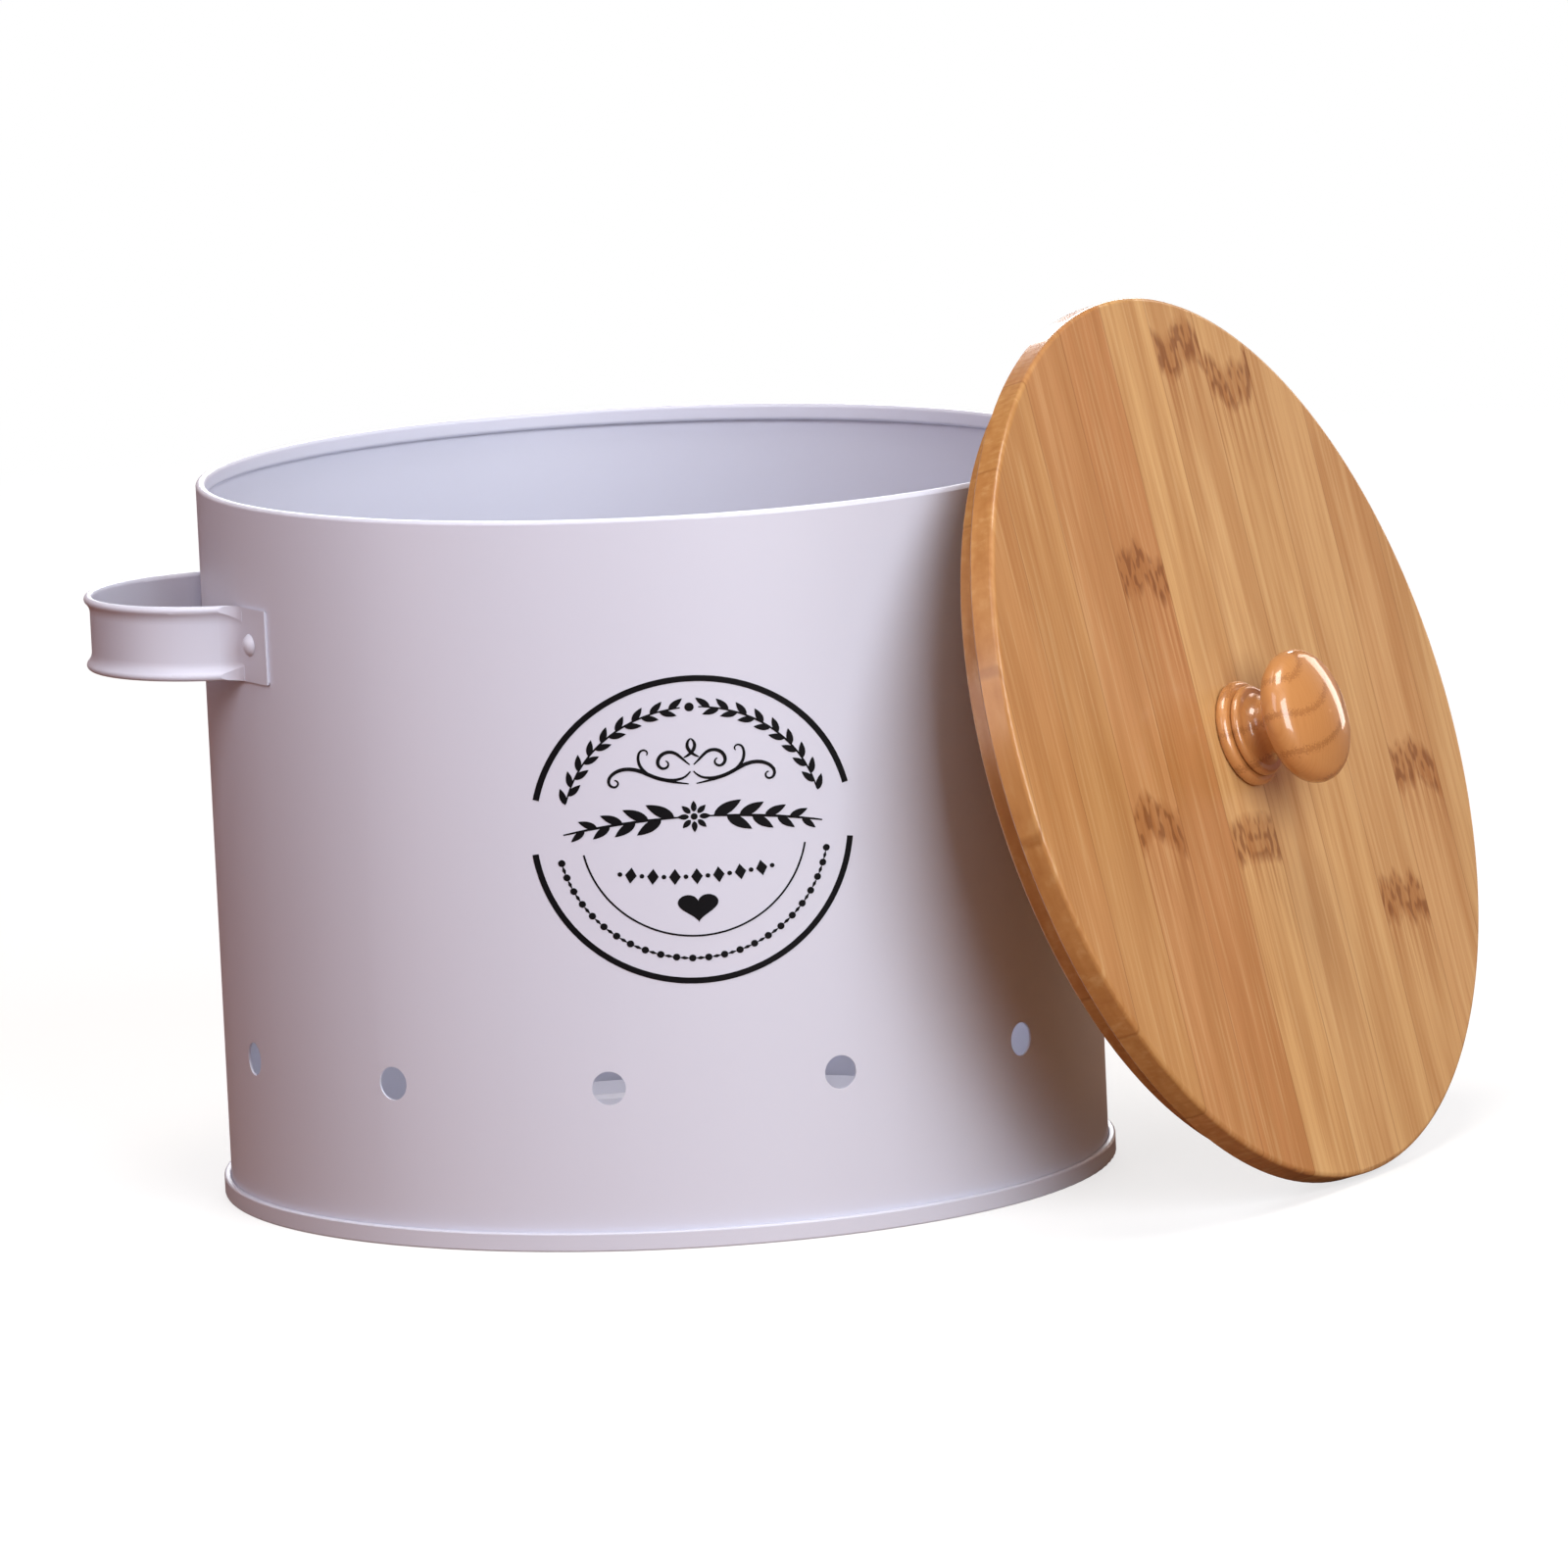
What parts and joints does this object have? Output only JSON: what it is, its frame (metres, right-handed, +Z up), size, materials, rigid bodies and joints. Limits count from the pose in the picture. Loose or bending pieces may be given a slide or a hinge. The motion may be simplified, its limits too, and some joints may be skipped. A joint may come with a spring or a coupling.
{
  "type": "potato storage bin",
  "caption": "Round coated-steel storage bin with vent holes near the foot, riveted strap handles and a loose bamboo lid with a turned knob, leaning on the handle.",
  "frame": {"origin": "centre of the bin's foot ring, on the floor", "axes": "+Z up along the bin's axis, handles at +X and -X, front with the emblem at -Y; the lid leans on the +X handle"},
  "size_m": [0.382, 0.2899, 0.2361],
  "materials": {
    "coated_steel": "powder coat, smooth satin, pale lilac-grey",
    "coated_rivet": "painted over with the bin, satin",
    "bamboo": "edge-glued bamboo strips, satin lacquer",
    "bamboo_dark": "darker bamboo strip, satin lacquer",
    "turned_wood": "turned wood, glossy varnish",
    "print_ink": "black screen-printed ink, satin",
    "screw_steel": "zinc-plated steel"
  },
  "bodies": {
    "tub": {"tub_wall": "coated_steel", "tub_base": "coated_steel", "handle_left": "coated_steel", "handle_right": "coated_steel", "rivet_left_front": "coated_rivet", "rivet_left_back": "coated_rivet", "rivet_right_front": "coated_rivet", "rivet_right_back": "coated_rivet"},
    "lid": {"lid_strip_left_4": "bamboo", "lid_strip_left_3": "bamboo", "lid_strip_left_2": "bamboo", "lid_strip_left_1": "bamboo_dark", "lid_strip_middle": "bamboo", "lid_strip_right_1": "bamboo", "lid_strip_right_2": "bamboo", "lid_strip_right_3": "bamboo", "lid_strip_right_4": "bamboo", "lid_strip_right_5": "bamboo", "lid_knob": "turned_wood", "knob_screw": "screw_steel"}
  },
  "joints": [
    {"name": "lid_lift", "type": "slide", "parent": "tub", "child": "lid", "axis": [0, 0, 1], "range_m": [0, 0.25]}
  ]
}
